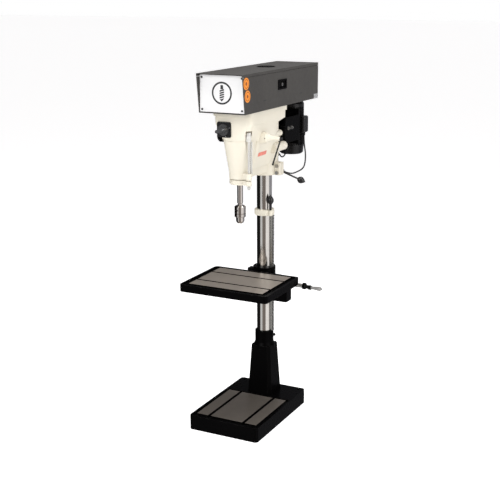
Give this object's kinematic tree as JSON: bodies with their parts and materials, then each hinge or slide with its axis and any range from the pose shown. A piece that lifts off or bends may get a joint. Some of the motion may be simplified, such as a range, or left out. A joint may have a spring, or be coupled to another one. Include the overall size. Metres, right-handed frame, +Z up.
{
  "type": "floor-standing drill press",
  "caption": "Floor-standing drill press: slotted base and tilting table on a round column, belt-driven head with quill, chuck, feed arm, depth stop and hinged belt guard.",
  "frame": {"origin": "centre of the base's underside, on the floor", "axes": "+Z up, -Y towards the operator, +X to the operator's right where the feed arm and crank are"},
  "size_m": [0.5785, 0.8875, 1.8406],
  "materials": {
    "black_paint": "satin",
    "cream_paint": "satin",
    "charcoal_paint": "matte",
    "silver_paint": "satin",
    "steel": "machined",
    "chrome": "polished",
    "aluminium": "machined",
    "rubber": "matte",
    "black_plastic": "moulded",
    "grey_plastic": "moulded",
    "orange_label": "printed",
    "red_label": "printed"
  },
  "bodies": {
    "stand": {"base_plate": "black_paint", "pedestal": "black_paint", "pedestal_bolts": "steel", "column": "chrome", "column_lock_bolt": "black_paint", "column_collar": "cream_paint"},
    "collar_knob": {"collar_knob": "black_plastic"},
    "head": {"head_casting": "cream_paint", "head_clamp_bolts": "steel", "return_spring_cap": "black_paint", "belt_guard": "charcoal_paint", "guard_screws": "steel", "hinge_pin": "steel", "front_plate": "silver_paint", "latch_bezel": "black_plastic", "safety_discs": "orange_label", "rear_plate": "steel", "side_label": "red_label", "switch_plate": "black_plastic", "motor_frame": "black_paint", "motor_fan_cowl": "black_paint", "motor_terminal_box": "black_paint", "motor_bracket": "black_paint", "motor_slide_rods": "steel", "motor_leads": "rubber", "cord_gland": "black_plastic", "idler_post": "steel", "bearing_housing": "steel", "drive_bearings": "chrome", "drive_belts": "rubber", "depth_scale": "steel"},
    "clamp_lever": {"head_clamp_lever": "black_paint"},
    "lid": {"guard_lid": "charcoal_paint", "lid_cap": "black_plastic", "lid_hinge": "charcoal_paint"},
    "latch": {"latch_paddle": "chrome"},
    "switch": {"switch_knob": "black_plastic"},
    "quill": {"quill": "steel", "quill_collar": "cream_paint", "depth_rod": "steel", "quill_bearings": "chrome"},
    "feed": {"feed_shaft": "steel", "feed_handle": "cream_paint"},
    "depth_nut": {"depth_nut": "steel"},
    "drive_pulley": {"spindle_pulley": "aluminium"},
    "idler": {"idler_pulley": "aluminium"},
    "motor_rotor": {"motor_pulley": "aluminium"},
    "spindle": {"spindle": "steel", "chuck_body": "steel"},
    "chuck_sleeve": {"chuck_sleeve": "steel"},
    "jaw_a": {"jaw_a": "steel"},
    "jaw_b": {"jaw_b": "steel"},
    "jaw_c": {"jaw_c": "steel"},
    "rack": {"column_rack": "steel"},
    "bracket": {"table_bracket": "black_paint", "tilt_bolt": "steel"},
    "elevating_gear": {"elevating_gear": "steel"},
    "crank": {"crank": "black_paint"},
    "crank_grip": {"crank_grip": "grey_plastic"},
    "table": {"table": "black_paint"}
  },
  "joints": [
    {"name": "collar_knob_turn", "type": "hinge", "parent": "stand", "child": "collar_knob", "pos_m": [0.0499, 0.1575, 1.12], "axis": [0, 0, 1], "range_deg": [0, 90]},
    {"name": "head_swing", "type": "hinge", "parent": "stand", "child": "head", "pos_m": [0, 0.187, 1.4], "axis": [0, 0, 1], "range_deg": [-45, 45]},
    {"name": "clamp_lever_turn", "type": "hinge", "parent": "head", "child": "clamp_lever", "pos_m": [0.084, 0.22, 1.302], "axis": [0, 1, 0], "range_deg": [-40, 20]},
    {"name": "lid_open", "type": "hinge", "parent": "head", "child": "lid", "pos_m": [-0.1274, 0.15, 1.8242], "axis": [0, -1, 0], "range_deg": [0, 100]},
    {"name": "latch_pull", "type": "hinge", "parent": "head", "child": "latch", "pos_m": [0.1205, 0.138, 1.772], "axis": [0, -1, 0], "range_deg": [0, 45], "stiffness_Nm_per_rad": 0.1, "springref_deg": -17.19},
    {"name": "switch_turn", "type": "hinge", "parent": "head", "child": "switch", "pos_m": [-0.043, -0.18, 1.56], "axis": [0, 1, 0], "range_deg": [0, 90]},
    {"name": "quill_feed", "type": "slide", "parent": "head", "child": "quill", "axis": [0, 0, -1], "range_m": [0, 0.127], "stiffness_N_per_m": 600, "springref_m": -0.32},
    {"name": "feed_turn", "type": "hinge", "parent": "head", "child": "feed", "pos_m": [0, -0.02975, 1.512], "axis": [1, 0, 0], "range_deg": [-0.5, 265.5]},
    {"name": "depth_nut_turn", "type": "hinge", "parent": "quill", "child": "depth_nut", "pos_m": [0.074, -0.135, 1.517], "axis": [0, 0, 1], "continuous": true},
    {"name": "drive_pulley_spin", "type": "hinge", "parent": "head", "child": "drive_pulley", "pos_m": [0, -0.088, 1.73], "axis": [0, 0, 1], "continuous": true},
    {"name": "spindle_spin", "type": "hinge", "parent": "quill", "child": "spindle", "pos_m": [0, -0.088, 1.3], "axis": [0, 0, 1], "continuous": true},
    {"name": "idler_spin", "type": "hinge", "parent": "head", "child": "idler", "pos_m": [0, 0.205, 1.72], "axis": [0, 0, 1], "continuous": true},
    {"name": "motor_spin", "type": "hinge", "parent": "head", "child": "motor_rotor", "pos_m": [0, 0.519, 1.68], "axis": [0, 0, 1], "continuous": true},
    {"name": "chuck_sleeve_turn", "type": "hinge", "parent": "spindle", "child": "chuck_sleeve", "pos_m": [0, -0.088, 1.122], "axis": [0, 0, 1], "range_deg": [-866, 1298]},
    {"name": "jaw_a_slide", "type": "slide", "parent": "spindle", "child": "jaw_a", "axis": [0, 0.2756, 0.9613], "range_m": [-0.0072, 0.0108]},
    {"name": "jaw_b_slide", "type": "slide", "parent": "spindle", "child": "jaw_b", "axis": [-0.2387, -0.1378, 0.9613], "range_m": [-0.00722, 0.01082]},
    {"name": "jaw_c_slide", "type": "slide", "parent": "spindle", "child": "jaw_c", "axis": [0.2387, -0.1378, 0.9613], "range_m": [-0.00722, 0.01082]},
    {"name": "table_swing", "type": "hinge", "parent": "stand", "child": "rack", "pos_m": [0, 0.187, 0.75], "axis": [0, 0, 1], "range_deg": [-90, 90]},
    {"name": "table_raise", "type": "slide", "parent": "rack", "child": "bracket", "axis": [0, 0, 1], "range_m": [-0.22, 0.012]},
    {"name": "elevating_gear_turn", "type": "hinge", "parent": "bracket", "child": "elevating_gear", "pos_m": [0.06735, 0.15, 0.6926], "axis": [0, 1, 0], "range_deg": [-50, 845]},
    {"name": "crank_turn", "type": "hinge", "parent": "bracket", "child": "crank", "pos_m": [0.2, 0.12, 0.727], "axis": [1, 0, 0], "range_deg": [-4215, 240]},
    {"name": "crank_grip_spin", "type": "hinge", "parent": "crank", "child": "crank_grip", "pos_m": [0.3, 0.19002, 0.70012], "axis": [1, 0, 0], "continuous": true},
    {"name": "table_tilt", "type": "hinge", "parent": "bracket", "child": "table", "pos_m": [0, 0.03, 0.705], "axis": [0, 1, 0], "range_deg": [-45, 45]}
  ],
  "couplings": [
    {"joint": "feed_turn", "follows": "quill_feed", "rad_per_m": 36.364},
    {"joint": "spindle_spin", "follows": "drive_pulley_spin", "ratio": 1},
    {"joint": "idler_spin", "follows": "drive_pulley_spin", "ratio": 1.2581},
    {"joint": "motor_spin", "follows": "drive_pulley_spin", "ratio": 3.0823},
    {"joint": "chuck_sleeve_turn", "follows": "jaw_a_slide", "rad_per_m": 2094.4},
    {"joint": "jaw_b_slide", "follows": "jaw_a_slide", "ratio": 1},
    {"joint": "jaw_c_slide", "follows": "jaw_a_slide", "ratio": 1},
    {"joint": "elevating_gear_turn", "follows": "table_raise", "rad_per_m": -66.667},
    {"joint": "crank_turn", "follows": "table_raise", "rad_per_m": 333.33}
  ]
}
